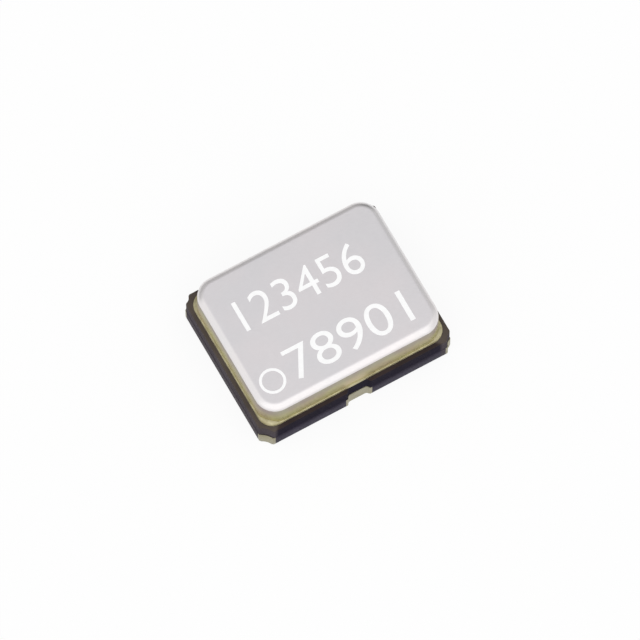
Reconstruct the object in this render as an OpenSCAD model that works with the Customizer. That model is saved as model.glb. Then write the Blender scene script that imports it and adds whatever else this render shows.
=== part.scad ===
// Six-terminal crystal oscillator in a ceramic package with a welded metal lid.
// Millimetres, +Z up. The origin is the middle of the solder face, which is the
// underside of the terminals. Terminal 1 is at the front left, at -X and -Y.

/* [Package] */
// Length of the ceramic body along X
package_length = 3.2; // [3.1:0.05:3.6]
// Width of the ceramic body along Y
package_width = 2.5; // [2.4:0.05:2.8]
// Ceramic wall between the cavity and the outside
wall = 0.35; // [0.33:0.01:0.4]
// Radius of the upright corners of the upper cavity
cavity_corner_r = 0.15; // [0.08:0.01:0.2]
// Radius of the upright corners of the pit for the die
pit_corner_r = 0.1; // [0.05:0.01:0.15]

/* [Ceramic layers] */
// Thickness of the floor layer
floor_layer = 0.13; // [0.1:0.01:0.2]
// Thickness of the layer round the lower part of the die
pit_layer = 0.12; // [0.1:0.01:0.2]
// Thickness of the layer that carries the quartz blank
shelf_layer = 0.12; // [0.1:0.01:0.2]
// Thickness of the layer round the quartz blank
frame_layer = 0.15; // [0.12:0.01:0.25]

/* [Shelves in the cavity] */
// Shelf that carries the quartz blank, along X
mount_shelf = 0.57; // [0.55:0.01:0.65]
// Shelf under the free end of the blank, along X
rest_shelf = 0.33; // [0.3:0.01:0.4]
// Shelf along each long side of the pit, along Y
side_shelf = 0.25; // [0.2:0.01:0.28]

/* [Castellations] */
// Radius of the quarter-round notch at the corners of terminals 3, 4 and 6
corner_notch_r = 0.1; // [0.08:0.01:0.14]
// Radius of the wide, shallow notch at the corner of terminal 1
index_notch_r = 0.28; // [0.24:0.01:0.29]
// Distance from the faces out to the middle of that notch's arc
index_notch_out = 0.1; // [0.09:0.01:0.12]
// Length of the notch in the middle of each long side
side_notch_length = 0.37; // [0.3:0.01:0.45]
// Depth of the notch in the middle of each long side
side_notch_depth = 0.06; // [0.045:0.005:0.06]
// Radius on the upright edges at the mouth of each notch
mouth_r = 0.045; // [0.02:0.005:0.05]

/* [Terminals] */
// Length of a solder pad along X
pad_length = 0.64; // [0.5:0.01:0.75]
// Width of a solder pad along Y
pad_width = 0.8; // [0.6:0.01:0.9]
// Bare ceramic between a pad and the edge of the body
pad_inset = 0.05; // [0.02:0.01:0.1]
// Thickness of a solder pad
plating = 0.02; // [0.01:0.005:0.03]
// Thickness of the plating in a notch
notch_plating = 0.01; // [0.006:0.001:0.015]
// Cut corner on the pad of terminal 1
index_chamfer = 0.2; // [0.1:0.01:0.3]

/* [Seal and lid] */
// Bare ceramic outside the metallised rim
rim_inset = 0.065; // [0.062:0.001:0.075]
// Outer corner radius of the metallised rim
rim_corner_r = 0.23; // [0.2:0.01:0.27]
// Thickness of the metallised rim
rim_metal = 0.02; // [0.01:0.005:0.03]
// Distance from the edge of the body to the outside of the seal ring
ring_inset = 0.085; // [0.083:0.001:0.11]
// Width of the seal ring's metal
ring_width = 0.21; // [0.18:0.01:0.22]
// Height of the seal ring
ring_height = 0.425; // [0.3:0.025:0.5]
// Outer corner radius of the seal ring
ring_corner_r = 0.32; // [0.3:0.01:0.36]
// Thickness of the braze under the seal ring
braze_layer = 0.015; // [0.01:0.005:0.02]
// Width of the metallised rim that the braze leaves bare outside its fillet
braze_setback = 0.003; // [0.002:0.001:0.006]
// Thickness of the braze where its fillet runs out
braze_lip = 0.004; // [0.003:0.001:0.006]
// Step from the outside of the seal ring in to the lid
lid_step = 0.005; // [0.004:0.001:0.02]
// Thickness of the lid
lid_thickness = 0.1; // [0.09:0.01:0.15]
// Width of the rolled border round the lid's top
lid_edge_width = 0.11; // [0.08:0.01:0.14]
// Drop of the rolled border from the lid's top to its side
lid_edge_drop = 0.07; // [0.05:0.01:0.075]

/* [Die] */
// Clearance between the die and the walls of its pit
die_gap = 0.18; // [0.1:0.01:0.22]
// Thickness of the die
die_thickness = 0.14; // [0.1:0.01:0.15]
// Diameter of a gold bump
bump_d = 0.09; // [0.06:0.01:0.12]
// Height of a gold bump
bump_height = 0.03; // [0.02:0.005:0.035]
// Distance from the edge of the die to the middle of a bump
bump_inset = 0.11; // [0.08:0.01:0.15]

/* [Printed conductors] */
// Width of a conductor
trace_width = 0.08; // [0.06:0.01:0.09]
// Thickness of a conductor
trace_thickness = 0.01; // [0.006:0.001:0.015]
// Side of the square land under a bump
bump_land = 0.15; // [0.13:0.01:0.18]
// Distance from the pit to the bend of a conductor
trace_bend = 0.12; // [0.08:0.01:0.15]
// Distance from a package corner to the last bend of a corner conductor
corner_run = 0.48; // [0.42:0.01:0.5]
// Diameter of a filled hole between layers
via_d = 0.09; // [0.06:0.01:0.12]
// Distance from the package corner to the hole that grounds the ring
ring_via_run = 0.34; // [0.3:0.01:0.36]

/* [Quartz blank] */
// Clearance between the blank and the walls of the cavity
blank_gap = 0.15; // [0.12:0.01:0.2]
// Thickness of the blank
blank_thickness = 0.04; // [0.03:0.005:0.08]
// Side of the square land under each dot of adhesive
crystal_land = 0.42; // [0.38:0.01:0.44]
// Distance from the cavity wall to the crystal lands
crystal_land_gap = 0.08; // [0.05:0.01:0.1]
// Diameter of a dot of adhesive
dot_d = 0.32; // [0.24:0.01:0.34]
// Height of a dot of adhesive
dot_height = 0.035; // [0.03:0.005:0.06]
// Thickness of an electrode
electrode_thickness = 0.005; // [0.004:0.001:0.01]
// Bare quartz between an electrode and each end of the blank
electrode_end_gap = 0.55; // [0.5:0.01:0.65]
// Bare quartz between an electrode and each long side of the blank
electrode_side_gap = 0.3; // [0.22:0.01:0.34]
// Width of the lead from an electrode to its contact
electrode_lead = 0.16; // [0.1:0.01:0.24]
// Width of the pillow under the free end of the blank, along X
pillow_width = 0.1; // [0.06:0.01:0.12]
// Distance from the pit to the pillow
pillow_gap = 0.04; // [0.02:0.01:0.06]
// Height of the pillow
pillow_height = 0.02; // [0.01:0.005:0.025]
// Distance from the pillow's ends to the long sides of the blank
pillow_side_gap = 0.42; // [0.3:0.01:0.5]
// Corner radius of the pillow
pillow_corner_r = 0.025; // [0.01:0.005:0.03]

/* [Hidden] */
$fn = 48;
// Amount by which a cutting shape passes the face that it opens
cut = 0.1;
// Overlap of the lid's border with its flat middle, inside the metal
lid_lap = 0.05;

// Heights from the solder face up
floor_z = plating + floor_layer;
pit_layer_z = floor_z + pit_layer;
shelf_z = pit_layer_z + shelf_layer;
rim_z = shelf_z + frame_layer;
braze_z = rim_z + rim_metal;
ring_z = braze_z + braze_layer;
lid_z = ring_z + ring_height;
trace_top_z = floor_z + trace_thickness;
die_z = trace_top_z + bump_height;
land_top_z = shelf_z + trace_thickness;
electrode_z = land_top_z + dot_height;
blank_z = electrode_z + electrode_thickness;
blank_top_z = blank_z + blank_thickness;

// Cavity over the shelves, and the pit for the die in its floor
cavity_length = package_length - 2 * wall;
cavity_width = package_width - 2 * wall;
pit_length = cavity_length - mount_shelf - rest_shelf;
pit_width = cavity_width - 2 * side_shelf;
pit_x = (mount_shelf - rest_shelf) / 2;

// Seal ring and lid
ring_length = package_length - 2 * ring_inset;
ring_across = package_width - 2 * ring_inset;
lid_length = ring_length - 2 * lid_step;
lid_across = ring_across - 2 * lid_step;
lid_corner_r = ring_corner_r - lid_step;
// Radius of the arc of the lid's border, which runs level into the top
lid_border_r = (lid_edge_width * lid_edge_width / lid_edge_drop + lid_edge_drop) / 2;
// Height and reach of the braze fillet outside the ring
braze_fillet_r = ring_inset - rim_inset - braze_setback;
// Foot of the braze on the rim, whose corners are sharper than the ring's
foot_length = ring_length + 2 * braze_fillet_r;
foot_across = ring_across + 2 * braze_fillet_r;
foot_corner_r = rim_corner_r - braze_setback;

// Terminals 1 to 3 run along the front from left to right and 4 to 6 back
// along the rear, as [column, row] with -1, 0 and 1 for left, middle and right
TERMINALS = [[-1, -1], [0, -1], [1, -1], [1, 1], [0, 1], [-1, 1]];
pad_x = package_length / 2 - pad_inset - pad_length / 2;
pad_y = package_width / 2 - pad_inset - pad_width / 2;
// Half of the flat bottom of a side notch, between its round ends
side_flat = side_notch_length / 2 - side_notch_depth;

// Die and its bumps
die_length = pit_length - 2 * die_gap;
die_width = pit_width - 2 * die_gap;
bump_columns = 4;
bump_pitch = (die_length - 2 * bump_inset) / (bump_columns - 1);
bump_y = die_width / 2 - bump_inset;

// Quartz blank and its contacts
blank_length = cavity_length - 2 * blank_gap;
blank_width = cavity_width - 2 * blank_gap;
crystal_x = crystal_land_gap + crystal_land / 2 - cavity_length / 2;
crystal_y = (blank_width - crystal_land) / 2;
contact_length = crystal_x + crystal_land / 2 + blank_length / 2;
electrode_length = blank_length - 2 * electrode_end_gap;
electrode_width = blank_width - 2 * electrode_side_gap;
pillow_x = pit_x + pit_length / 2 + pillow_gap + pillow_width / 2;

// Middle of a bump along X, with columns counted from the left
function bump_x(column) = pit_x - die_length / 2 + bump_inset + column * bump_pitch;

// Radius of a notch's arc, and the distance of its middle outside the faces
function notch_r(place) =
    place.x == 0 ? side_notch_depth : place == TERMINALS[0] ? index_notch_r : corner_notch_r;
function notch_out(place) = place == TERMINALS[0] ? index_notch_out : 0;

// Middles of the arcs of a notch, one at a corner and two in a long side
function notch_middles(place) =
    let (y = place.y * (package_width / 2 + notch_out(place)))
    place.x == 0
        ? [[-side_flat, y], [side_flat, y]]
        : [[place.x * (package_length / 2 + notch_out(place)), y]];

// Triangle at a mouth edge: middle of the arc, middle of the rounding, and
// its foot on the line along the face through the middle of the arc
function mouth(place, middle, along, inward) =
    let (
        r = notch_r(place),
        out = notch_out(place),
        foot = middle + sqrt((r - out) * (r + out + 2 * mouth_r)) * along
    )
    [middle, foot + (out + mouth_r) * inward, foot];

// Both mouth edges of a notch
function mouths(place) =
    let (
        middles = notch_middles(place),
        last = middles[len(middles) - 1],
        inward = [0, -place.y]
    )
    place.x == 0
        ? [mouth(place, middles[0], [-1, 0], inward), mouth(place, last, [1, 0], inward)]
        : [mouth(place, last, [-place.x, 0], inward), mouth(place, last, inward, [-place.x, 0])];

// Points of a corner conductor's last stretch, at 45 degrees into the corner
function corner_points(side) = [
    for (run = [corner_run, 0])
        [side * (package_length / 2 - run * cos(45)), package_width / 2 - run * sin(45)]
];

// Routes of the four conductors of one row of bumps, drawn in the rear half
bend_y = pit_width / 2 + trace_bend;
ROUTES = [
    [[bump_x(0), bump_y], [crystal_x, crystal_y]],
    concat([[bump_x(1), bump_y], [bump_x(1), bend_y]], corner_points(-1)),
    [[bump_x(2), bump_y], [bump_x(2), bend_y], [0, package_width / 2]],
    concat([[bump_x(3), bump_y], [bump_x(3), bend_y]], corner_points(1))
];

// Rectangle with round corners, about the origin
module rounded_rectangle(size_x, size_y, radius) {
    square([size_x - 2 * radius, size_y], center = true);
    square([size_x, size_y - 2 * radius], center = true);
    for (x = [-1, 1], y = [-1, 1])
        translate([x * (size_x / 2 - radius), y * (size_y / 2 - radius)])
            circle(r = radius);
}

// Carries a section round a rectangle with round corners. The section's X
// points outward from the path and its Y points up.
module sweep_round(size_x, size_y, radius) {
    for (quarter = [0:3]) {
        on_x = quarter % 2 == 0;
        reach = (on_x ? size_x : size_y) / 2;
        straight = (on_x ? size_y : size_x) - 2 * radius;
        rotate(90 * quarter) {
            translate([reach, straight / 2, 0])
                rotate([90, 0, 0])
                    linear_extrude(straight) children();
            translate([reach - radius, straight / 2, 0])
                rotate_extrude(angle = 90)
                    translate([radius, 0]) children();
        }
    }
}

// Carries a section round the outer face of the seal ring
module sweep_ring() {
    sweep_round(ring_length, ring_across, ring_corner_r) children();
}

// Arcs and flat of one castellation, drawn smaller by shrink on its metal side
module notch_core(place, shrink = 0) {
    r = notch_r(place) - shrink;
    for (middle = notch_middles(place))
        translate(middle) circle(r = r);
    if (place.x == 0)
        translate([0, place.y * package_width / 2]) square([2 * side_flat, 2 * r], center = true);
}

// Outline of one castellation with its mouth edges rounded
module notch(place) {
    notch_core(place);
    for (edge = mouths(place))
        difference() {
            polygon(edge);
            translate(edge[1]) circle(r = mouth_r);
        }
}

// Straight conductor with round ends
module strip(start, end) {
    span = end - start;
    translate(start)
        rotate(atan2(span.y, span.x))
            translate([0, -trace_width / 2]) square([norm(span), trace_width]);
    for (point = [start, end])
        translate(point) circle(d = trace_width);
}

// Pattern printed on the floor layer, cut off at the castellations
module floor_pattern() {
    difference() {
        for (row = [0, 1])
            mirror([0, row])
                for (route = ROUTES) {
                    for (leg = [1:len(route) - 1])
                        strip(route[leg - 1], route[leg]);
                    translate(route[0]) square(bump_land, center = true);
                }
        for (place = TERMINALS) notch(place);
    }
}

// Puts a copy at each of the two contacts of the quartz blank
module at_contacts() {
    for (side = [-1, 1])
        translate([crystal_x, side * crystal_y, 0]) children();
}

// Puts a copy at the hole that joins the ring to terminal 3
module at_ring_via() {
    run = ring_via_run * cos(45);
    translate([package_length / 2 - run, run - package_width / 2, 0]) children();
}

// One co-fired ceramic body with its stepped cavity and castellations
module ceramic_base() {
    color("#2f2a34")
    difference() {
        translate([0, 0, plating])
            linear_extrude(rim_z - plating)
                difference() {
                    square([package_length, package_width], center = true);
                    for (place = TERMINALS) notch(place);
                }
        translate([0, 0, shelf_z])
            linear_extrude(frame_layer + cut)
                rounded_rectangle(cavity_length, cavity_width, cavity_corner_r);
        translate([pit_x, 0, floor_z])
            linear_extrude(shelf_z - floor_z + cut)
                rounded_rectangle(pit_length, pit_width, pit_corner_r);
        translate([0, 0, floor_z])
            linear_extrude(trace_thickness) floor_pattern();
        at_contacts()
            translate([0, 0, trace_top_z])
                cylinder(d = via_d, h = shelf_z - trace_top_z + cut);
        at_ring_via()
            translate([0, 0, trace_top_z])
                cylinder(d = via_d, h = rim_z - trace_top_z + cut);
    }
}

// Metallised film on the rim of the ceramic
module rim_metallisation() {
    color("#a4976a")
    translate([0, 0, rim_z])
        linear_extrude(rim_metal)
            difference() {
                rounded_rectangle(
                    package_length - 2 * rim_inset, package_width - 2 * rim_inset, rim_corner_r
                );
                rounded_rectangle(cavity_length, cavity_width, cavity_corner_r);
            }
}

// Braze under the ring, which runs out to sharper corners than the ring's, with
// its hollow fillet round the outside of the ring
module braze_fillet() {
    color("#b3a77a")
    translate([0, 0, braze_z]) {
        linear_extrude(braze_layer)
            difference() {
                rounded_rectangle(foot_length, foot_across, foot_corner_r);
                rounded_rectangle(
                    ring_length - 2 * ring_width, ring_across - 2 * ring_width,
                    ring_corner_r - ring_width
                );
            }
        translate([0, 0, braze_layer])
            sweep_ring()
                difference() {
                    square(braze_fillet_r);
                    translate([braze_fillet_r, braze_fillet_r])
                        circle(r = braze_fillet_r - braze_lip);
                }
    }
}

// Gold-plated seal ring
module seal_ring() {
    color("#b8ac80")
    translate([0, 0, ring_z])
        sweep_ring()
            translate([-ring_width, 0]) square([ring_width, ring_height]);
}

// Section of the lid's border, which is rolled down from the top to the side
module lid_border() {
    translate([-lid_edge_width - lid_lap, 0]) square([lid_lap, lid_thickness]);
    translate([-lid_edge_width, 0])
        intersection() {
            square([lid_edge_width, lid_thickness]);
            translate([0, lid_thickness - lid_border_r]) circle(r = lid_border_r);
        }
}

// Flat metal lid with a rolled border
module lid() {
    color("#d2d0d3")
    translate([0, 0, lid_z]) {
        sweep_round(lid_length, lid_across, lid_corner_r) lid_border();
        linear_extrude(lid_thickness)
            rounded_rectangle(
                lid_length - 2 * lid_edge_width, lid_across - 2 * lid_edge_width,
                lid_corner_r - lid_edge_width
            );
    }
}

// Outline of a solder pad. Terminal 1 has its inner corner cut off.
module pad_outline(number) {
    place = TERMINALS[number - 1];
    translate([place.x * pad_x, place.y * pad_y])
        difference() {
            square([pad_length, pad_width], center = true);
            if (number == 1)
                translate([pad_length / 2, pad_width / 2])
                    polygon([[0, 0], [-index_chamfer, 0], [0, -index_chamfer]]);
        }
}

// Solder pad with the plating that runs up its castellation
module terminal(number) {
    place = TERMINALS[number - 1];
    color("#b3a77c") {
        linear_extrude(plating)
            difference() {
                pad_outline(number);
                notch_core(place, notch_plating);
            }
        linear_extrude(pit_layer_z)
            difference() {
                intersection() {
                    notch_core(place);
                    square([package_length, package_width], center = true);
                }
                notch_core(place, notch_plating);
                for (edge = mouths(place)) polygon(edge);
            }
    }
}

// Printed conductors from the bumps to the castellations and the vias
module floor_traces() {
    color("#8a8478")
    translate([0, 0, floor_z])
        linear_extrude(trace_thickness) floor_pattern();
}

// Filled holes from the floor conductors up to the crystal lands
module crystal_vias() {
    color("#77736c")
    at_contacts()
        translate([0, 0, trace_top_z]) cylinder(d = via_d, h = shelf_z - trace_top_z);
}

// Filled hole from the conductor of terminal 3 up to the metallised rim
module ring_via() {
    color("#77736c")
    at_ring_via()
        translate([0, 0, trace_top_z]) cylinder(d = via_d, h = rim_z - trace_top_z);
}

// Gold-plated lands on the mounting shelf
module crystal_lands() {
    color("#c9a959")
    at_contacts()
        translate([0, 0, shelf_z])
            linear_extrude(trace_thickness) square(crystal_land, center = true);
}

// Gold bumps between the floor conductors and the die
module die_bumps() {
    color("#d9b650")
    for (column = [0:bump_columns - 1], row = [-1, 1])
        translate([bump_x(column), row * bump_y, trace_top_z])
            cylinder(d = bump_d, h = bump_height);
}

// Silicon die, face down on its bumps
module ic_die() {
    color("#5d6068")
    translate([pit_x, 0, die_z])
        linear_extrude(die_thickness) square([die_length, die_width], center = true);
}

// Dots of conductive adhesive with bulging sides
module adhesive_dots() {
    bulge = dot_height / 2;
    color("#9b9a97")
    at_contacts()
        translate([0, 0, land_top_z])
            rotate_extrude() {
                square([dot_d / 2 - bulge, dot_height]);
                translate([dot_d / 2 - bulge, bulge])
                    intersection() {
                        circle(r = bulge);
                        translate([0, -bulge]) square([bulge, dot_height]);
                    }
            }
}

// Electrode pattern: the middle field, its lead and its contact at one side
module electrode_outline(side) {
    lead_y = (electrode_width - electrode_lead) / 2;
    square([electrode_length, electrode_width], center = true);
    translate([-blank_length / 2, side * lead_y - electrode_lead / 2])
        square([blank_length / 2, electrode_lead]);
    contact_outline(side);
}

// Contact of an electrode at one end of the blank's mounted edge
module contact_outline(side) {
    translate([-blank_length / 2, side * crystal_y - crystal_land / 2])
        square([contact_length, crystal_land]);
}

// Metal film under the blank, with its contact on the front dot
module bottom_electrode() {
    color("#c7c3b8")
    translate([0, 0, electrode_z])
        linear_extrude(electrode_thickness) electrode_outline(-1);
}

// Quartz plate that vibrates
module quartz_blank() {
    color("#dfe6e8")
    translate([0, 0, blank_z])
        linear_extrude(blank_thickness) square([blank_length, blank_width], center = true);
}

// Metal film on the blank, folded round its end onto the rear dot
module top_electrode() {
    fold_height = blank_thickness + 2 * electrode_thickness;
    color("#c7c3b8") {
        translate([0, 0, blank_top_z])
            linear_extrude(electrode_thickness) electrode_outline(1);
        translate([-blank_length / 2, crystal_y - crystal_land / 2, electrode_z])
            difference() {
                translate([-electrode_thickness, 0, 0])
                    cube([contact_length + electrode_thickness, crystal_land, fold_height]);
                translate([0, -cut, electrode_thickness])
                    cube([contact_length + cut, crystal_land + 2 * cut, blank_thickness]);
            }
    }
}

// Low printed pillow that stops the free end of the blank
module support_pillow() {
    color("#3b3540")
    translate([pillow_x, 0, shelf_z])
        linear_extrude(pillow_height)
            rounded_rectangle(pillow_width, blank_width - 2 * pillow_side_gap, pillow_corner_r);
}

ceramic_base();
rim_metallisation();
braze_fillet();
seal_ring();
lid();
terminal(1);  // terminal_1
terminal(2);  // terminal_2
terminal(3);  // terminal_3
terminal(4);  // terminal_4
terminal(5);  // terminal_5
terminal(6);  // terminal_6
floor_traces();
crystal_vias();
ring_via();
crystal_lands();
die_bumps();
ic_die();
adhesive_dots();
bottom_electrode();
quartz_blank();
top_electrode();
support_pillow();
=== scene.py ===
"""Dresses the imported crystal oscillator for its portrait.

Every visible piece of the package is modelled here in millimetres, at the place
that the frame gives, and is brought to metres when it is finished. The pieces
that are sealed inside keep their frame meshes and get a finish of their own.
"""
import logging
import math
from contextlib import contextmanager
from dataclasses import dataclass, field
from enum import Enum
from typing import Callable, Iterator, Sequence, Union

import bmesh
import bpy
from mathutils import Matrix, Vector


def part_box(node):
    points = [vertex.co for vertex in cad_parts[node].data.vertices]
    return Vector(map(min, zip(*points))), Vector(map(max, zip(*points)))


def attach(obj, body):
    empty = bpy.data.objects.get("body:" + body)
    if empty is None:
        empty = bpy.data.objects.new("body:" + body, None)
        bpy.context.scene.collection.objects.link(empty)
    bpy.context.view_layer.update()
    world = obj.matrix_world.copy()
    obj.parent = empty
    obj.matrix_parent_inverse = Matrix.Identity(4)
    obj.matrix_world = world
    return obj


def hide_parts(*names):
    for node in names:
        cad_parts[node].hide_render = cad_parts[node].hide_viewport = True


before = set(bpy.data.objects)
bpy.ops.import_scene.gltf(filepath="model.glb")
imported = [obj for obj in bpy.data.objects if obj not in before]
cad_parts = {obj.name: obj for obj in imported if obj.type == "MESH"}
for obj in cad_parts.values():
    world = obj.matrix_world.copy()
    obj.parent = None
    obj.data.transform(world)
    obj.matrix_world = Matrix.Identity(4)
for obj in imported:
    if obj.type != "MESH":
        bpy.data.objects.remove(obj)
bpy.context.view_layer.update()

log = logging.getLogger("oscillator")

Piece = bpy.types.Object
Socket = bpy.types.NodeSocket
Owner = Union[bpy.types.Material, bpy.types.World]
Colour = tuple[float, float, float]
Feed = Union[float, Sequence[float], Socket]
Place = tuple[float, float, float]
Tones = tuple[tuple[float, Colour], ...]

BODY = "root"
MM_PER_M = 1000.0
TOUCH = 0.0005
MERGE = TOUCH / 10
WHITE = (1.0, 1.0, 1.0)
GRAIN_DETAIL = 3
PATCH_START, PATCH_END = 0.35, 0.65
GRAIN_START, GRAIN_END = 0.3, 0.7
# Colour sockets of a Mix node, whose names its sockets for plain values share.
MIX_LOW, MIX_HIGH, MIX_RESULT = 6, 7, 2


class Slot(Enum):
    """Material slots of the record that the new pieces' finishes belong to."""

    CERAMIC = "black_ceramic"
    PLATING = "gold_plating"
    LID = "lid_metal"


class Pick(Enum):
    """Kinds of mesh element that can be selected."""

    EDGE = "EDGE"
    FACE = "FACE"


def srgb(red: int, green: int, blue: int) -> Colour:
    """Turns a colour as seen on a screen into the linear values of a shader.

    Args:
        red: Red from 0 to 255.
        green: Green from 0 to 255.
        blue: Blue from 0 to 255.

    Returns:
        The linear colour.
    """
    def linear(value: int) -> float:
        """Turns one channel from screen to linear."""
        share = value / 255
        return share / 12.92 if share <= 0.04045 else ((share + 0.055) / 1.055) ** 2.4

    return linear(red), linear(green), linear(blue)


@dataclass(frozen=True)
class Span:
    """Box of a frame node, in millimetres."""

    low: Vector
    high: Vector

    @classmethod
    def of(cls, node: str) -> "Span":
        """Reads the box of a node from the frame."""
        low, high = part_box(node)
        return cls(Vector(low) * MM_PER_M, Vector(high) * MM_PER_M)

    @property
    def size(self) -> Vector:
        """Length of the box along each axis."""
        return self.high - self.low


def activate(piece: Piece) -> None:
    """Makes a piece the only selected and the active object."""
    bpy.ops.object.select_all(action="DESELECT")
    piece.select_set(True)
    bpy.context.view_layer.objects.active = piece


@contextmanager
def editing(piece: Piece) -> Iterator[None]:
    """Holds a piece in edit mode for the length of a with block."""
    activate(piece)
    bpy.ops.object.mode_set(mode="EDIT")
    try:
        yield
    finally:
        bpy.ops.object.mode_set(mode="OBJECT")


def pick(piece: Piece, kind: Pick, test: Callable[..., bool]) -> None:
    """Selects the edges or faces of a piece in edit mode that pass a test.

    Args:
        piece: The piece, in edit mode.
        kind: What is selected.
        test: Says of each edge or face if it is selected.
    """
    bpy.ops.mesh.select_mode(type=kind.value)
    bpy.ops.mesh.select_all(action="DESELECT")
    shape = bmesh.from_edit_mesh(piece.data)
    for part in shape.edges if kind is Pick.EDGE else shape.faces:
        if test(part):
            part.select_set(True)
    bmesh.update_edit_mesh(piece.data)


def upright(edge: bmesh.types.BMEdge) -> bool:
    """Says if an edge runs along Z."""
    run = edge.verts[0].co - edge.verts[1].co
    return abs(run.z) > TOUCH and math.hypot(run.x, run.y) < TOUCH


def at_height(height: float) -> Callable[..., bool]:
    """Makes a test for edges or faces that lie flat at a height."""
    return lambda part: all(abs(vert.co.z - height) < TOUCH for vert in part.verts)


def block(name: str, low: Sequence[float], high: Sequence[float]) -> Piece:
    """Adds a box between two corners.

    Args:
        name: Name of the new piece.
        low: Lowest corner in millimetres.
        high: Highest corner in millimetres.

    Returns:
        The box, its place and size in its mesh.
    """
    low, high = Vector(low), Vector(high)
    bpy.ops.object.select_all(action="DESELECT")
    bpy.ops.mesh.primitive_cube_add(size=1, location=(low + high) / 2, scale=high - low)
    bpy.ops.object.transform_apply(location=True, rotation=True, scale=True)
    piece = bpy.context.active_object
    piece.name = name
    return piece


def rounded_block(name: str, low: Sequence[float], high: Sequence[float], corner: float,
                  segments: int = 24) -> Piece:
    """Adds a box whose upright edges are rounded."""
    piece = block(name, low, high)
    with editing(piece):
        pick(piece, Pick.EDGE, upright)
        bpy.ops.mesh.bevel(offset=corner, segments=segments, affect="EDGES", clamp_overlap=False)
    return piece


def climb(arc: Sequence[tuple[float, float]]) -> None:
    """Insets the selected face step by step, so that its border follows an arc.

    Args:
        arc: Distance inward and height of each point, from the border's edge on.
    """
    for (near, low), (far, high) in zip(arc, arc[1:]):
        bpy.ops.mesh.inset(thickness=far - near, depth=high - low)


def rod(name: str, foot: Place, radius: float, height: float, sides: int) -> Piece:
    """Adds an upright cylinder on a point.

    Args:
        name: Name of the new piece.
        foot: Middle of the cylinder's foot in millimetres.
        radius: Radius in millimetres.
        height: Height in millimetres.
        sides: Number of sides.

    Returns:
        The cylinder, its place in its mesh.
    """
    middle = (foot[0], foot[1], foot[2] + height / 2)
    bpy.ops.object.select_all(action="DESELECT")
    bpy.ops.mesh.primitive_cylinder_add(
        vertices=sides, radius=radius, depth=height, location=middle,
    )
    bpy.ops.object.transform_apply(location=True, rotation=True, scale=True)
    piece = bpy.context.active_object
    piece.name = name
    return piece


def use_tool(piece: Piece, tool: Piece, operation: str) -> None:
    """Cuts a tool from a piece, joins it or keeps what they share, and deletes the tool.

    Args:
        piece: The piece that is changed.
        tool: The other solid.
        operation: DIFFERENCE, UNION or INTERSECT.
    """
    activate(piece)
    step = piece.modifiers.new("tool", "BOOLEAN")
    step.operation = operation
    step.solver = "EXACT"
    step.object = tool
    bpy.ops.object.modifier_apply(modifier=step.name)
    bpy.data.objects.remove(tool, do_unlink=True)


def soften(piece: Piece, width: float, segments: int = 2, angle: float = 40) -> None:
    """Rounds the sharp edges of a piece by a small amount.

    Args:
        piece: The piece.
        width: Width of the rounding in millimetres.
        segments: Steps in the rounding.
        angle: Angle in degrees from which an edge counts as sharp.
    """
    activate(piece)
    step = piece.modifiers.new("soften", "BEVEL")
    step.width = width
    step.segments = segments
    step.limit_method = "ANGLE"
    step.angle_limit = math.radians(angle)
    step.use_clamp_overlap = True
    bpy.ops.object.modifier_apply(modifier=step.name)


def to_metres(piece: Piece, smooth_angle: float = 35) -> None:
    """Brings a finished piece from millimetres to metres and smooths its shading."""
    activate(piece)
    piece.scale = (1 / MM_PER_M,) * 3
    bpy.ops.object.transform_apply(location=True, rotation=True, scale=True)
    bpy.ops.object.shade_smooth_by_angle(angle=math.radians(smooth_angle))


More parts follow.
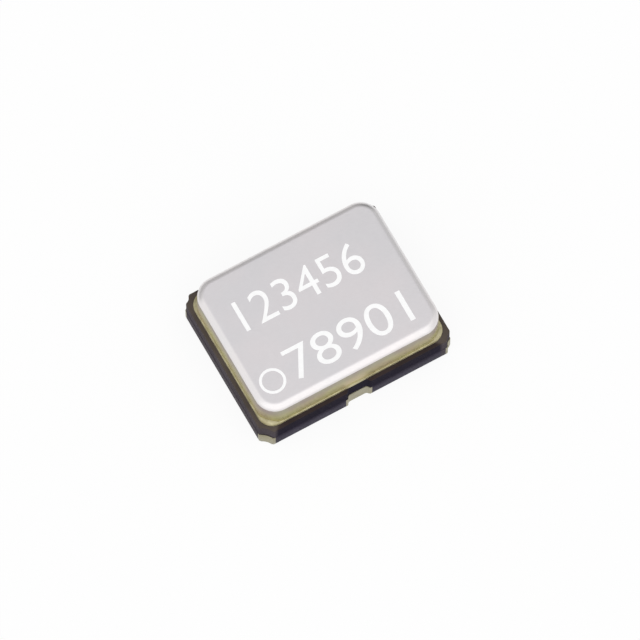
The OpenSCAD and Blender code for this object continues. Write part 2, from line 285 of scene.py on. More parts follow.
class Nodes:
    """Node tree of one material or world, with short calls to add and link nodes."""

    def __init__(self, owner: Owner) -> None:
        """Empties the tree of a material or world."""
        self.owner = owner
        self.owner.use_nodes = True
        self.tree = self.owner.node_tree
        self.tree.nodes.clear()

    @classmethod
    def of_material(cls, name: str) -> "Nodes":
        """Starts an empty material."""
        return cls(bpy.data.materials.new(name))

    def add(self, kind: str, feeds: dict[str | int, Feed], **settings: object) -> bpy.types.Node:
        """Adds a node.

        Args:
            kind: Node type, without its ShaderNode prefix.
            feeds: Value or source of each input, by name or number.
            settings: Other properties of the node.

        Returns:
            The node.
        """
        node = self.tree.nodes.new("ShaderNode" + kind)
        for key, value in settings.items():
            setattr(node, key, value)
        for key, value in feeds.items():
            if isinstance(value, Socket):
                self.tree.links.new(value, node.inputs[key])
            elif isinstance(value, (int, float)):
                node.inputs[key].default_value = value
            else:
                values = tuple(value)
                room = len(node.inputs[key].default_value)
                node.inputs[key].default_value = values + (1.0,) * (room - len(values))
        return node

    def place(self, stretch: Place = (1, 1, 1)) -> Socket:
        """Gives the place on the piece in millimetres, stretched for drawn-out patterns."""
        coordinates = self.add("TexCoord", {})
        scale = tuple(MM_PER_M * share for share in stretch)
        mapping = self.add("Mapping", {"Vector": coordinates.outputs["Object"], "Scale": scale})
        return mapping.outputs["Vector"]

    def speckle(self, place: Socket, size: float, detail: float = 2) -> Socket:
        """Gives cloudy noise whose patches are about so many millimetres across."""
        noise = self.add("TexNoise", {"Vector": place, "Scale": 1 / size, "Detail": detail})
        return noise.outputs["Fac"]

    def ramp(self, fac: Socket, low: Feed, high: Feed, start: float, end: float) -> Socket:
        """Blends two values or colours as a factor goes from start to end."""
        if isinstance(low, float):
            span = {"From Min": start, "From Max": end, "To Min": low, "To Max": high}
            return self.add("MapRange", {"Value": fac, **span}).outputs["Result"]
        share = self.add("MapRange", {"Value": fac, "From Min": start, "From Max": end})
        feeds = {"Factor": share.outputs["Result"], MIX_LOW: low, MIX_HIGH: high}
        return self.add("Mix", feeds, data_type="RGBA").outputs[MIX_RESULT]

    def seen_by(self, *rays: str) -> Socket:
        """Gives 1 for rays of the named kinds and 0 for all others."""
        path = self.add("LightPath", {})
        seen, *rest = (path.outputs[f"Is {ray} Ray"] for ray in rays)
        for other in rest:
            seen = self.add("Math", {0: seen, 1: other}, operation="MAXIMUM").outputs[0]
        return seen

    def finish(self, shader: bpy.types.Node, output: str = "OutputMaterial") -> Owner:
        """Joins the last shader to the output and returns the material or world."""
        self.add(output, {"Surface": shader.outputs[0]})
        return self.owner


@dataclass(frozen=True)
class GrainFinish:
    """Opaque finish with soft patches of tone and a fine grain.

    Sizes and heights are in millimetres.
    """

    name: str
    light: Colour
    dark: Colour
    metallic: float
    roughness: tuple[float, float]
    patch: float
    grain: float
    relief: float
    specular: float = 0.5
    stretch: Place = (1, 1, 1)

    def base_colour(self, nodes: Nodes, place: Socket) -> Socket:
        """Gives the colour of the surface, in soft patches."""
        patches = nodes.speckle(place, self.patch)
        return nodes.ramp(patches, self.dark, self.light, PATCH_START, PATCH_END)

    def material(self) -> bpy.types.Material:
        """Builds the material."""
        nodes = Nodes.of_material(self.name)
        place = nodes.place()
        grain = nodes.speckle(nodes.place(self.stretch), self.grain, detail=GRAIN_DETAIL)
        bump = nodes.add("Bump", {
            "Height": grain, "Distance": self.relief / MM_PER_M, "Strength": 1.0,
        })
        surface = nodes.add("BsdfPrincipled", {
            "Base Color": self.base_colour(nodes, place),
            "Metallic": self.metallic,
            "Roughness": nodes.ramp(grain, *self.roughness, GRAIN_START, GRAIN_END),
            "Specular IOR Level": self.specular,
            "Normal": bump.outputs["Normal"],
        })
        return nodes.finish(surface)


@dataclass(frozen=True)
class PaintedLightFinish(GrainFinish):
    """Finish whose tone changes with height, on the short ends apart from the long sides.

    The light and dark colours are shares of the tone. The ends meet the sides at a mitre. The tones
    are painted light and shade: they hold the highlights, sheen and shade of the lit package.
    """

    sides: Tones = ()
    ends: Tones = ()
    mitre: float = 0.14
    blend: float = 0.03

    def tone(self, nodes: Nodes, height: Socket, stops: Tones) -> Feed:
        """Blends the tones of one side from the lowest stop to the highest."""
        (start, colour), *rest = stops
        for end, following in rest:
            colour = nodes.ramp(height, colour, following, start, end)
            start = end
        return colour

    def base_colour(self, nodes: Nodes, place: Socket) -> Socket:
        """Gives the tone at a place, in soft patches."""
        axes = nodes.add("SeparateXYZ", {"Vector": place}).outputs
        along, across = (
            nodes.add("Math", {0: axes[axis]}, operation="ABSOLUTE").outputs[0] for axis in "XY"
        )
        beyond = nodes.add("Math", {0: along, 1: across}, operation="SUBTRACT").outputs[0]
        # painted light and shade: one set of tones by height for the long sides, another for the
        # short ends
        sides = self.tone(nodes, axes["Z"], self.sides)
        ends = self.tone(nodes, axes["Z"], self.ends or self.sides)
        tone = nodes.ramp(beyond, sides, ends, self.mitre - self.blend, self.mitre + self.blend)
        patches = super().base_colour(nodes, place)
        feeds = {"Factor": 1.0, MIX_LOW: tone, MIX_HIGH: patches}
        return nodes.add(
            "Mix", feeds, data_type="RGBA", blend_type="MULTIPLY",
        ).outputs[MIX_RESULT]


@dataclass(frozen=True)
class LayeredCeramicFinish(PaintedLightFinish):
    """Fired ceramic whose layers show as faint lines on its cut sides: a painted highlight along
    the layer step on the long sides, a darker joint on the ends.
    """

    joints: tuple[float, ...] = ()
    line: float = 0.012
    # one colour for the layer lines: lighter than the long sides as a painted highlight, darker
    # than the ends as a joint
    joint_and_highlight_colour: Colour = srgb(52, 47, 57)

    def base_colour(self, nodes: Nodes, place: Socket) -> Socket:
        """Gives the colour of the ceramic, with a line along each joint between its layers, partly
        a darker joint and partly a painted highlight.
        """
        colour = super().base_colour(nodes, place)
        height = nodes.add("SeparateXYZ", {"Vector": place}).outputs["Z"]
        for joint in self.joints:
            near = nodes.add("Math", {0: height, 1: joint}, operation="SUBTRACT")
            gap = nodes.add("Math", {0: near.outputs[0]}, operation="ABSOLUTE")
            colour = nodes.ramp(gap.outputs[0], self.joint_and_highlight_colour, colour, 0.0, self.line)
        return colour


@dataclass(frozen=True)
class ClearFinish:
    """Clear quartz with faintly frosted faces."""

    name: str
    colour: Colour
    roughness: tuple[float, float]
    grain: float
    ior: float

    def material(self) -> bpy.types.Material:
        """Builds the material."""
        nodes = Nodes.of_material(self.name)
        grain = nodes.speckle(nodes.place(), self.grain, detail=GRAIN_DETAIL)
        surface = nodes.add("BsdfPrincipled", {
            "Base Color": self.colour,
            "Roughness": nodes.ramp(grain, *self.roughness, GRAIN_START, GRAIN_END),
            "IOR": self.ior,
            "Transmission Weight": 1.0,
        })
        return nodes.finish(surface)


# The ceramic's tones carry painted light: the lighter grey of the short ends is painted sheen, and
# the lighter band low on the long sides is a painted highlight; the top turns warm brown.
BLACK_CERAMIC = LayeredCeramicFinish(
    "black_fired_ceramic", light=(1.12, 1.12, 1.12), dark=(0.88, 0.88, 0.88), metallic=0.0,
    roughness=(0.5, 0.68), patch=0.3, grain=0.02, relief=0.0012, specular=0.05,
    sides=((0.18, srgb(58, 54, 67)), (0.3, srgb(25, 21, 36)), (0.532, srgb(27, 22, 34)),
           (0.54, srgb(55, 46, 46))),
    ends=((0.4, srgb(67, 61, 66)), (0.532, srgb(70, 63, 65)), (0.54, srgb(84, 76, 71))),
    joints=(0.27,),
)
# Painted light on the ring: its foot is painted brighter and yellower to offset the dark reflection
# of the ledge below, and the tone greys towards the top.
RING_GOLD = PaintedLightFinish(
    "pale_gold_plating", light=(1.04, 1.09, 0.97), dark=(0.97, 0.92, 0.97), metallic=1.0,
    roughness=(0.45, 0.62), patch=0.26, grain=0.03, relief=0.0012,
    sides=((0.59, srgb(209, 200, 154)), (0.78, srgb(190, 181, 148)), (0.9, srgb(171, 163, 146)),
           (1.0, srgb(168, 160, 153))),
)
PALE_GOLD = GrainFinish(
    "thin_gold_plating", light=srgb(166, 161, 138), dark=srgb(155, 149, 124), metallic=1.0,
    roughness=(0.35, 0.5), patch=0.2, grain=0.03, relief=0.0008,
)
BRAZE_GOLD = GrainFinish(
    "gold_over_braze", light=srgb(194, 187, 154), dark=srgb(169, 161, 128), metallic=1.0,
    roughness=(0.4, 0.6), patch=0.12, grain=0.035, relief=0.002,
)
# Painted highlight: the rolled border of the lid is painted lighter than its flat top.
LID_NICKEL = PaintedLightFinish(
    "satin_nickel_sheet", light=(1.02, 1.0, 1.0), dark=(0.98, 0.985, 0.99), metallic=1.0,
    roughness=(0.3, 0.42), patch=1.1, grain=0.016, relief=0.0004, stretch=(0.25, 1, 1),
    sides=((1.094, srgb(231, 228, 228)), (1.0998, srgb(216, 213, 215))),
)
WHITE_MARK = GrainFinish(
    "white_marking", light=(0.99, 0.99, 0.99), dark=(0.96, 0.96, 0.96), metallic=0.0,
    roughness=(0.5, 0.7), patch=0.08, grain=0.02, relief=0.0006,
)
TUNGSTEN = GrainFinish(
    "fired_tungsten", light=srgb(146, 140, 128), dark=srgb(112, 107, 98), metallic=1.0,
    roughness=(0.45, 0.65), patch=0.06, grain=0.012, relief=0.0015,
)
SOFT_GOLD = GrainFinish(
    "soft_gold", light=srgb(236, 200, 104), dark=srgb(216, 178, 84), metallic=1.0,
    roughness=(0.18, 0.32), patch=0.08, grain=0.02, relief=0.001,
)
SILICON = GrainFinish(
    "ground_silicon", light=srgb(104, 108, 118), dark=srgb(86, 89, 98), metallic=1.0,
    roughness=(0.12, 0.28), patch=0.3, grain=0.01, relief=0.0004, stretch=(1, 0.08, 1),
)
ADHESIVE = GrainFinish(
    "silver_adhesive", light=srgb(170, 168, 163), dark=srgb(132, 130, 126), metallic=0.6,
    roughness=(0.4, 0.7), patch=0.05, grain=0.015, relief=0.002,
)
ELECTRODE = GrainFinish(
    "evaporated_electrode", light=srgb(226, 220, 206), dark=srgb(210, 204, 190), metallic=1.0,
    roughness=(0.1, 0.2), patch=0.4, grain=0.02, relief=0.0003,
)
ALUMINA_PRINT = GrainFinish(
    "printed_alumina", light=srgb(70, 64, 76), dark=srgb(54, 49, 60), metallic=0.0,
    roughness=(0.6, 0.8), patch=0.08, grain=0.012, relief=0.0015, specular=0.3,
)
QUARTZ = ClearFinish(
    "lapped_quartz", colour=(0.93, 0.96, 0.97), roughness=(0.02, 0.12), grain=0.03, ior=1.544,
)


def set_finish(piece: Piece, material: bpy.types.Material) -> None:
    """Gives a piece its only material."""
    piece.data.materials.clear()
    piece.data.materials.append(material)


def deliver(piece: Piece, finish: GrainFinish, slot: Slot, *nodes: str) -> None:
    """Finishes a piece: brings it to metres, dresses it and fixes it to the body.

    Args:
        piece: The modelled piece, in millimetres.
        finish: Its finish.
        slot: The record's slot of that finish; not used.
        nodes: The frame nodes that it stands for.
    """
    to_metres(piece)
    set_finish(piece, finish.material())
    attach(piece, BODY)
    if nodes:
        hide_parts(*nodes)
    stands_for = ", ".join(nodes) or "no node"
    log.info("%s: %d faces, stands for %s", piece.name, len(piece.data.polygons), stands_for)


@dataclass(frozen=True)
class Mouth:
    """Mouth edge of a notch, where a face of the body runs round into the notch's arc."""

    middle: Vector
    along: Vector
    inward: Vector
    reach: float
    depth: float

    @property
    def rounding(self) -> Vector:
        """Middle of the rounding."""
        return self.middle + self.along * self.reach + self.inward * self.depth


@dataclass
class Castellations:
    """Notches in the sides of the body, as tools that cut them."""

    body: Span
    corner_radius: float = 0.1
    index_radius: float = 0.28
    index_out: float = 0.1
    side_length: float = 0.37
    side_depth: float = 0.06
    mouth_radius: float = 0.045
    overshoot: float = 0.1
    sides: int = 96

    @property
    def height(self) -> float:
        """Height of a tool, from below the body to above it."""
        return self.body.size.z + 4 * self.overshoot

    def radius(self, column: int, row: int) -> float:
        """Gives the radius of a notch's arc."""
        if column == 0:
            return self.side_depth
        return self.index_radius if (column, row) == (-1, -1) else self.corner_radius

    def out(self, column: int, row: int) -> float:
        """Gives the distance of an arc's middle outside the faces."""
        return self.index_out if (column, row) == (-1, -1) else 0.0

    def middles(self, column: int, row: int) -> list[Vector]:
        """Gives the middles of a notch's arcs, below everything that they cut."""
        out = self.out(column, row)
        y, foot = row * (self.body.high.y + out), self.body.low.z - 2 * self.overshoot
        if column:
            return [Vector((column * (self.body.high.x + out), y, foot))]
        flat = self.side_length / 2 - self.side_depth
        return [Vector((-flat, y, foot)), Vector((flat, y, foot))]

    def mouths(self, column: int, row: int) -> list[Mouth]:
        """Gives both mouth edges of a notch."""
        radius, out = self.radius(column, row), self.out(column, row)
        reach = math.sqrt((radius - out) * (radius + out + 2 * self.mouth_radius))
        depth = out + self.mouth_radius
        middles = self.middles(column, row)
        inward = Vector((0, -row, 0))
        if column:
            across = Vector((-column, 0, 0))
            ways = ((middles[0], across, inward), (middles[0], inward, across))
        else:
            left, right = Vector((-1, 0, 0)), Vector((1, 0, 0))
            ways = ((middles[0], left, inward), (middles[1], right, inward))
        return [Mouth(*way, reach, depth) for way in ways]

    def core(self, column: int, row: int, shrink: float = 0) -> Piece:
        """Makes the tool of a notch without its mouth edges, thinner by shrink.

        Args:
            column: Place of the notch along X, as -1, 0 or 1.
            row: Place of the notch along Y, as -1 or 1.
            shrink: Thickness of the metal on the notch's wall.

        Returns:
            The tool.
        """
        radius = self.radius(column, row) - shrink
        first, *rest = self.middles(column, row)
        tool = rod("notch_tool", first, radius, self.height, self.sides)
        for middle in rest:
            low = (first.x, first.y - radius, first.z)
            high = (middle.x, middle.y + radius, first.z + self.height)
            use_tool(tool, block("flat_tool", low, high), "UNION")
            use_tool(tool, rod("end_tool", middle, radius, self.height, self.sides), "UNION")
        return tool

    def wedge(self, mouth: Mouth) -> Piece:
        """Makes the three-sided block between an arc, its mouth's rounding and the face."""
        corners = (mouth.middle, mouth.rounding + Vector((0, 0, self.height)))
        low, high = (Vector(map(choose, *corners)) for choose in (min, max))
        wedge = block("wedge_tool", low, high)
        across = (mouth.inward * mouth.reach - mouth.along * mouth.depth).normalized()
        with editing(wedge):
            bpy.ops.mesh.select_all(action="SELECT")
            bpy.ops.mesh.bisect(
                plane_co=mouth.middle, plane_no=across, use_fill=True, clear_outer=True,
            )
        return wedge

    def cut(self, piece: Piece, column: int, row: int) -> None:
        """Cuts a notch with its mouth edges from a piece."""
        use_tool(piece, self.core(column, row), "DIFFERENCE")
        for mouth in self.mouths(column, row):
            wedge, height = self.wedge(mouth), 2 * self.height
            rounding = rod("rounding_tool", mouth.rounding, self.mouth_radius, height, self.sides)
            use_tool(wedge, rounding, "DIFFERENCE")
            use_tool(piece, wedge, "DIFFERENCE")


@dataclass
class CeramicBody:
    """Black co-fired body with its stepped cavity and castellations."""

    span: Span
    notches: Castellations
    lower_layers: float = 0.25
    layer_step: float = 0.004
    cavity_wall: float = 0.35
    cavity_corner: float = 0.15
    cavity_floor: float = 0.39
    pit_floor: float = 0.15
    mount_shelf: float = 0.57
    rest_shelf: float = 0.33
    side_shelf: float = 0.25
    pit_corner: float = 0.1
    edge: float = 0.006

    def build(self) -> Piece:
        """Models the body from its lower layers up.

        Returns:
            The body, in millimetres.
        """
        low, high = self.span.low, self.span.high
        joint = low.z + self.lower_layers
        body = block("ceramic_body", low, (high.x, high.y, joint))
        for column in (-1, 0, 1):
            for row in (-1, 1):
                self.notches.cut(body, column, row)
        with editing(body):
            pick(body, Pick.FACE, at_height(joint))
            bpy.ops.mesh.inset(thickness=self.layer_step, depth=0)
            rise = (0, 0, high.z - joint)
            bpy.ops.mesh.extrude_region_move(TRANSFORM_OT_translate={"value": rise})
        self.hollow(body)
        soften(body, self.edge)
        return body

    def hollow(self, body: Piece) -> None:
        """Cuts the cavity over the shelves and the pit in its floor."""
        wall = Vector((self.cavity_wall, self.cavity_wall, 0))
        low, high = self.span.low + wall, self.span.high - wall
        over, shelf = self.notches.overshoot, self.side_shelf
        use_tool(body, rounded_block(
            "cavity_tool", (low.x, low.y, self.cavity_floor), (high.x, high.y, high.z + over),
            self.cavity_corner,
        ), "DIFFERENCE")
        use_tool(body, rounded_block(
            "pit_tool", (low.x + self.mount_shelf, low.y + shelf, self.pit_floor),
            (high.x - self.rest_shelf, high.y - shelf, self.cavity_floor + over), self.pit_corner,
        ), "DIFFERENCE")

    def make(self) -> None:
        """Builds and delivers the body."""
        deliver(self.build(), BLACK_CERAMIC, Slot.CERAMIC, "ceramic_base")


@dataclass
class Terminal:
    """Solder pad with the plating that runs up its castellation."""

    number: int
    column: int
    row: int
    notches: Castellations
    pad: tuple[float, float] = (0.64, 0.8)
    inset: float = 0.05
    thickness: float = 0.02
    notch_plating: float = 0.01
    index_cut: float = 0.2
    lip_sides: int = 64
    edge: float = 0.003

    @property
    def node(self) -> str:
        """Name of the frame node that it stands for."""
        return f"terminal_{self.number}"

    def build_pad(self) -> Piece:
        """Models the flat pad under the body, cut at the notch."""
        body = self.notches.body
        x = self.column * (body.high.x - self.inset - self.pad[0] / 2)
        y = self.row * (body.high.y - self.inset - self.pad[1] / 2)
        low = (x - self.pad[0] / 2, y - self.pad[1] / 2, 0)
        high = (x + self.pad[0] / 2, y + self.pad[1] / 2, self.thickness)
        pad = block(self.node + "_plating", low, high)
        if self.number == 1:
            with editing(pad):
                pick(pad, Pick.EDGE, lambda edge: upright(edge) and self.is_inner(edge, high))
                bpy.ops.mesh.bevel(
                    offset=self.index_cut, segments=1, affect="EDGES", clamp_overlap=False,
                )
        use_tool(pad, self.notches.core(self.column, self.row, self.notch_plating), "DIFFERENCE")
        return pad

    @staticmethod
    def is_inner(edge: bmesh.types.BMEdge, corner: Sequence[float]) -> bool:
        """Says if an upright edge stands at a corner of the pad."""
        spot = edge.verts[0].co
        return abs(spot.x - corner[0]) < TOUCH and abs(spot.y - corner[1]) < TOUCH

    def build_wall(self) -> Piece:
        """Models the plating on the wall of the notch."""
        body, here = self.notches.body, (self.column, self.row)
        wall = self.notches.core(*here)
        use_tool(wall, self.notches.core(*here, self.notch_plating), "DIFFERENCE")
        top = Span.of(self.node).high.z
        limit = block("limit_tool", (body.low.x, body.low.y, 0), (body.high.x, body.high.y, top))
        use_tool(wall, limit, "INTERSECT")
        for mouth in self.notches.mouths(*here):
            use_tool(wall, self.notches.wedge(mouth), "DIFFERENCE")
            use_tool(wall, self.build_lip(mouth, top), "UNION")
        return wall

    def build_lip(self, mouth: Mouth, top: float) -> Piece:
        """Models the plating that thins out round the mouth edge of the notch."""
        body, height, sides = self.notches.body, self.notches.height, self.lip_sides
        inner = self.notches.mouth_radius
        outer = inner + self.notch_plating
        lip = rod("lip_plating", mouth.rounding, outer, height, sides)
        use_tool(lip, rod("lip_tool", mouth.rounding, inner, 2 * height, sides), "DIFFERENCE")
        use_tool(lip, self.notches.wedge(mouth), "INTERSECT")
        limit = block("limit_tool", body.low, (body.high.x, body.high.y, top))
        use_tool(lip, limit, "INTERSECT")
        return lip

    def make(self) -> None:
        """Builds and delivers the terminal."""
        piece = self.build_pad()
        use_tool(piece, self.build_wall(), "UNION")
        soften(piece, self.edge)
        deliver(piece, PALE_GOLD, Slot.PLATING, self.node)


@dataclass
class Frame:
    """Flat frame with round corners, as a solid of its own."""

    name: str
    node: str
    corner: float
    width: float
    opening_corner: float
    finish: GrainFinish
    edge: float = 0.004
    over: float = 0.1

    def build(self) -> Piece:
        """Models the frame: a block with round corners and its middle cut out."""
        span = Span.of(self.node)
        piece = rounded_block(self.name, span.low, span.high, self.corner)
        wall = Vector((self.width, self.width, -self.over))
        low, high = span.low + wall, span.high - wall
        use_tool(piece, rounded_block("opening_tool", low, high, self.opening_corner), "DIFFERENCE")
        soften(piece, self.edge)
        return piece

    def make(self) -> None:
        """Builds and delivers the frame."""
        deliver(self.build(), self.finish, Slot.PLATING, self.node)


@dataclass
class BrazeFillet:
    """Braze under the seal ring, with its hollow fillet and a small pool at each corner."""

    ring: Span
    ring_corner: float = 0.32
    ring_width: float = 0.21
    foot_corner: float = 0.227
    lip: float = 0.004
    pool: float = 0.063
    steps: int = 10
    over: float = 0.1
    node: str = "braze_fillet"

    def hollow(self, radius: float, lip: float) -> list[tuple[float, float]]:
        """Gives the points of a hollow quarter arc, cut short where it would be thin."""
        size = radius - lip
        turns = [math.pi / 2 * step / self.steps for step in range(self.steps + 1)]
        return [(size * math.sin(turn), size * (1 - math.cos(turn))) for turn in turns]

    def bead(self, reach: float, corner: float, radius: float, lip: float) -> Piece:
        """Models a solid foot round the ring whose border climbs along a hollow arc.

        Args:
            reach: How far the foot stands out from the ring.
            corner: Corner radius of the foot.
            radius: Radius of the hollow arc.
            lip: Height of the foot's upright edge.

        Returns:
            The solid, with no room for the ring yet.
        """
        out = Vector((reach, reach, 0))
        low, high = self.ring.low - out, self.ring.high + out
        low.z, high.z = Span.of(self.node).low.z, self.ring.low.z + lip
        bead = rounded_block("braze_bead", low, high, corner)
        with editing(bead):
            pick(bead, Pick.FACE, at_height(high.z))
            climb(self.hollow(radius, lip))
        return bead

    def build(self) -> Piece:
        """Models the braze: fillet and corner pools, less the ring and its opening."""
        low, high = self.ring.low, self.ring.high
        reach = Span.of(self.node).high.x - high.x
        piece = self.bead(reach, self.ring_corner + reach, reach, self.lip)
        use_tool(piece, self.bead(reach, self.foot_corner, self.pool, 0), "UNION")
        use_tool(piece, rounded_block("ring_tool", low, high, self.ring_corner), "DIFFERENCE")
        wall = Vector((self.ring_width, self.ring_width, -self.over))
        corner = self.ring_corner - self.ring_width
        opening = rounded_block("opening_tool", low + wall, high - wall, corner)
        use_tool(piece, opening, "DIFFERENCE")
        return piece

    def make(self) -> None:
        """Builds and delivers the braze."""
        deliver(self.build(), BRAZE_GOLD, Slot.PLATING, self.node)


@dataclass
class Lid:
    """Flat metal lid whose border is rolled down to its side."""

    corner: float = 0.315
    border: float = 0.11
    drop: float = 0.07
    steps: int = 14
    node: str = "lid"

    def build(self) -> Piece:
        """Models the lid: its side, then its border by insets that climb along the arc."""
        span = Span.of(self.node)
        shoulder = span.high.z - self.drop
        top = (span.high.x, span.high.y, shoulder)
        piece = rounded_block("lid_plate", span.low, top, self.corner)
        radius = (self.border ** 2 / self.drop + self.drop) / 2
        start = math.asin(self.border / radius)
        turns = [start * (1 - step / self.steps) for step in range(self.steps + 1)]
        with editing(piece):
            pick(piece, Pick.FACE, at_height(shoulder))
            climb([(-radius * math.sin(turn), radius * math.cos(turn)) for turn in turns])
        return piece

    def make(self) -> None:
        """Builds and delivers the lid."""
        deliver(self.build(), LID_NICKEL, Slot.LID, self.node)


@dataclass
class Marking:
    """White marks on the lid: two lines of plain numbers and the circle at terminal 1."""

    top: float
    film: float = 0.003
    thinning: float = -0.004
    curve_steps: int = 12
    lines: tuple[tuple[str, float, float, float, float], ...] = (
        ("123456", -1.11, 0.93, 0.13, 0.51),
        ("78901", -0.85, 1.15, -0.90, 0.52),
    )
    dot_middle: tuple[float, float] = (-1.16, -0.72)
    dot_radius: float = 0.2
    dot_stroke: float = 0.042
    dot_sides: int = 96

    def write(self, text: str, left: float, right: float, base: float,
              height: float) -> Piece:
        """Writes one line of numbers as a thin film.

        Args:
            text: The numbers.
            left: Left end of the line in millimetres.
            right: Right end of the line.
            base: Place of the foot of the numbers along Y.
            height: Height of the numbers.

        Returns:
            The line, in millimetres.
        """
        bpy.ops.object.select_all(action="DESELECT")
        bpy.ops.object.text_add()
        line = bpy.context.active_object
        line.name = "numbers_" + text
        line.data.body = text
        line.data.resolution_u = self.curve_steps
        line.data.offset = self.thinning
        line.data.extrude = self.film / 2
        activate(line)
        bpy.ops.object.convert(target="MESH")
        places = [vert.co for vert in line.data.vertices]
        low, high = (Vector(map(choose, *places)) for choose in (min, max))
        line.scale = ((right - left) / (high.x - low.x), height / (high.y - low.y), 1)
        foot = (left - low.x * line.scale.x, base - low.y * line.scale.y, self.top - low.z)
        line.location = foot
        bpy.ops.object.transform_apply(location=True, rotation=True, scale=True)
        with editing(line):
            bpy.ops.mesh.select_all(action="SELECT")
            bpy.ops.mesh.remove_doubles(threshold=MERGE)
            bpy.ops.mesh.normals_make_consistent(inside=False)
        return line

    def draw_dot(self) -> Piece:
        """Draws the open circle as a thin film."""
        foot, below = (*self.dot_middle, self.top), (*self.dot_middle, self.top - self.film)
        dot = rod("index_circle", foot, self.dot_radius, self.film, self.dot_sides)
        inner = self.dot_radius - self.dot_stroke
        tool = rod("dot_tool", below, inner, 3 * self.film, self.dot_sides)
        use_tool(dot, tool, "DIFFERENCE")
        return dot

    def make(self) -> None:
        """Makes and delivers the marks."""
        for line in self.lines:
            deliver(self.write(*line), WHITE_MARK, Slot.LID)
        deliver(self.draw_dot(), WHITE_MARK, Slot.LID)


@dataclass
class SealedPieces:
    """Pieces inside the package, which keep their frame meshes."""

    finishes: dict[str, Union[GrainFinish, ClearFinish]] = field(default_factory=lambda: {
        "floor_traces": TUNGSTEN,
        "crystal_vias": TUNGSTEN,
        "ring_via": TUNGSTEN,
        "crystal_lands": SOFT_GOLD,
        "die_bumps": SOFT_GOLD,
        "ic_die": SILICON,
        "adhesive_dots": ADHESIVE,
        "bottom_electrode": ELECTRODE,
        "quartz_blank": QUARTZ,
        "top_electrode": ELECTRODE,
        "support_pillow": ALUMINA_PRINT,
    })

    def make(self) -> None:
        """Dresses each piece."""
        materials: dict[str, bpy.types.Material] = {}
        for node, finish in self.finishes.items():
            if finish.name not in materials:
                materials[finish.name] = finish.material()
            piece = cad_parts[node]
            piece.data.materials.clear()
            piece.data.materials.append(materials[finish.name])
            log.info("%s: dressed as %s", node, finish.name)


@dataclass(frozen=True)
class Wall:
    """Soft wall of the room: by how much the light from one side differs from the ceiling's."""

    axis: str
    start: float
    end: float
    gain: float


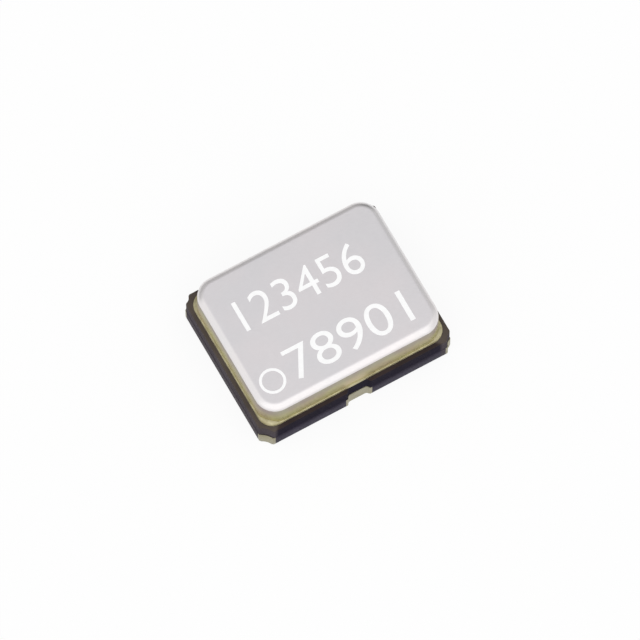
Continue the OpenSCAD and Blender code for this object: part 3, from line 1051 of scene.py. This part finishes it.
@dataclass
class Studio:
    """Pale floor, soft light and the camera of the portrait."""

    look_at: Place = (0.0165, -0.0374, 0.516)
    azimuth: float = -29.23
    elevation: float = 69.57
    distance: float = 161
    pixels_per_mm: float = 67.9
    image_width: int = 640
    sensor: float = 36
    floor_side: float = 2000
    ceiling: float = 1.07
    walls: tuple[Wall, ...] = (
        Wall("Y", 0.15, -0.15, 0.24),
        Wall("Y", 0.34, 0.7, -0.55),
        Wall("X", 0.25, 0.6, -0.38),
    )
    floor_tone: Colour = (0.92, 0.92, 0.92)
    floor_share: float = 0.9
    floor_gap: float = 0.001
    clip_start: float = 0.01

    def toward(self, azimuth: float, elevation: float) -> Vector:
        """Gives the direction from the object to a point of the sky."""
        turn, lift = math.radians(azimuth), math.radians(elevation)
        flat = math.cos(lift)
        return Vector((math.sin(turn) * flat, -math.cos(turn) * flat, math.sin(lift)))

    def aim(self, thing: Piece, azimuth: float, elevation: float, distance: float) -> None:
        """Puts a thing at a distance in millimetres and turns it to the object."""
        back = self.toward(azimuth, elevation)
        thing.location = (Vector(self.look_at) + back * distance) / MM_PER_M
        thing.rotation_euler = back.to_track_quat("Z", "Y").to_euler()

    def add_camera(self) -> None:
        """Adds the camera at the photograph's angle and scale."""
        data = bpy.data.cameras.new("portrait")
        data.sensor_width = self.sensor
        data.lens = self.pixels_per_mm * self.distance * self.sensor / self.image_width
        data.clip_start = self.clip_start
        camera = bpy.data.objects.new("portrait", data)
        bpy.context.collection.objects.link(camera)
        self.aim(camera, self.azimuth, self.elevation, self.distance)
        bpy.context.scene.camera = camera

    def add_world(self) -> None:
        """Adds the light of the room: soft walls, and white where the camera looks."""
        world = bpy.data.worlds.new("studio")
        bpy.context.scene.world = world
        nodes = Nodes(world)
        toward = nodes.add("SeparateXYZ", {0: nodes.add("TexCoord", {}).outputs["Generated"]})
        level: Feed = self.ceiling
        for wall in self.walls:
            share = nodes.add("MapRange", {
                "Value": toward.outputs[wall.axis], "From Min": wall.start, "From Max": wall.end,
                "To Min": 0.0, "To Max": wall.gain,
            }, interpolation_type="SMOOTHSTEP")
            level = nodes.add("Math", {0: level, 1: share.outputs[0]}, operation="ADD").outputs[0]
        room = nodes.add("Background", {"Color": WHITE, "Strength": level})
        seen = nodes.add("Background", {"Color": WHITE, "Strength": 1.0})
        nodes.finish(nodes.add("MixShader", {
            0: nodes.seen_by("Camera", "Transmission"), 1: room.outputs[0], 2: seen.outputs[0],
        }), output="OutputWorld")

    def add_floor(self) -> None:
        """Adds the pale floor, which keeps the object's shadow."""
        bpy.ops.object.select_all(action="DESELECT")
        bpy.ops.mesh.primitive_plane_add(
            size=self.floor_side / MM_PER_M, location=(0, 0, -self.floor_gap / MM_PER_M),
        )
        floor = bpy.context.active_object
        floor.name = "studio_floor"
        nodes = Nodes.of_material("white_floor")
        matte = nodes.add("BsdfDiffuse", {"Color": self.floor_tone})
        glow = nodes.add("Emission", {"Color": WHITE, "Strength": 1.0})
        seen = nodes.seen_by("Camera", "Glossy", "Transmission")
        share = nodes.add("Math", {0: seen, 1: self.floor_share}, operation="MULTIPLY")
        top = nodes.add("MixShader", {0: share.outputs[0], 1: matte.outputs[0], 2: glow.outputs[0]})
        below = nodes.add("NewGeometry", {}).outputs["Backfacing"]
        clear = nodes.add("BsdfTransparent", {})
        surface = nodes.add("MixShader", {0: below, 1: top.outputs[0], 2: clear.outputs[0]})
        floor.data.materials.append(nodes.finish(surface))

    def make(self) -> None:
        """Sets up the whole studio."""
        bpy.context.scene.view_settings.view_transform = "Standard"
        self.add_camera()
        self.add_world()
        self.add_floor()
        log.info("studio: camera %.1f round, %.1f up", self.azimuth, self.elevation)


def main() -> None:
    """Builds the pieces in the order of assembly and sets up the studio."""
    logging.basicConfig(level=logging.INFO, format="%(name)s: %(message)s")
    body = Span.of("ceramic_base")
    notches = Castellations(body)
    CeramicBody(body, notches).make()
    places = ((-1, -1), (0, -1), (1, -1), (1, 1), (0, 1), (-1, 1))
    for number, (column, row) in enumerate(places, start=1):
        Terminal(number, column, row, notches).make()
    Frame("rim_film", "rim_metallisation", corner=0.23, width=0.285, opening_corner=0.15,
          finish=BRAZE_GOLD).make()
    BrazeFillet(Span.of("seal_ring")).make()
    Frame("ring_of_gold", "seal_ring", corner=0.32, width=0.21, opening_corner=0.11,
          finish=RING_GOLD, edge=0.01).make()
    Lid().make()
    Marking(top=Span.of("lid").high.z).make()
    SealedPieces().make()
    Studio().make()


if __name__ == "__main__":
    main()
